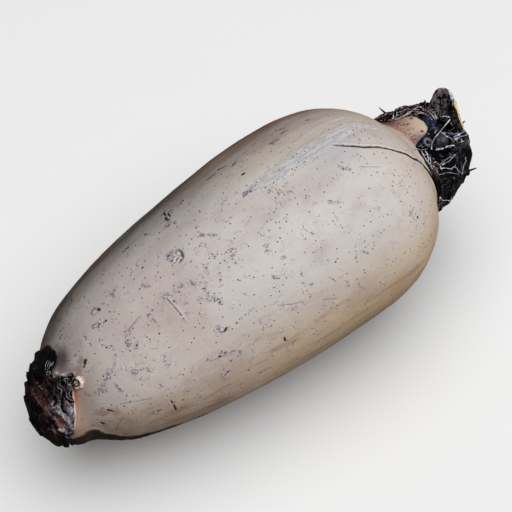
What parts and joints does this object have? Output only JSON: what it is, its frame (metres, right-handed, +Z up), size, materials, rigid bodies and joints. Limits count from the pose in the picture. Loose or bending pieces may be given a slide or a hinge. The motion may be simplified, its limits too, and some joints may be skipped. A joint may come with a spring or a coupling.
{
  "type": "lotus root segment",
  "caption": "Lotus root segment lying on its side: a pale swollen rhizome with a blackened, root-matted node and dried stalk stub at the wide end and a wrinkled dark cap at the narrow end.",
  "frame": {"origin": "on the small flat spot that the segment rests on, under its weight", "axes": "+X along the segment towards the wide end with the upper node and stalk stub, +Z up, -Y is the side that faces the picture's camera"},
  "size_m": [0.1748, 0.0742, 0.0744],
  "materials": {
    "lotus_skin": "smooth pale cream skin, satin, with fine brown dots and grey scuffs; wood stands in for plant tissue",
    "dried_node": "black dried sheath and roots, rough with a faint sheen; wood stands in for plant tissue",
    "dried_stalk": "black dried stalk with lighter rims; wood stands in for plant tissue",
    "dried_cap": "black-brown wrinkled sheath with grey-mauve torn fibres; wood stands in for plant tissue",
    "root_scar": "broken root with a pale ring round an orange-brown core; wood stands in for plant tissue"
  },
  "bodies": {
    "root": {"rhizome": "lotus_skin", "upper_node": "dried_node", "leaf_stalk_stub": "dried_stalk", "lower_node": "dried_cap", "root_stump": "root_scar"}
  },
  "joints": []
}
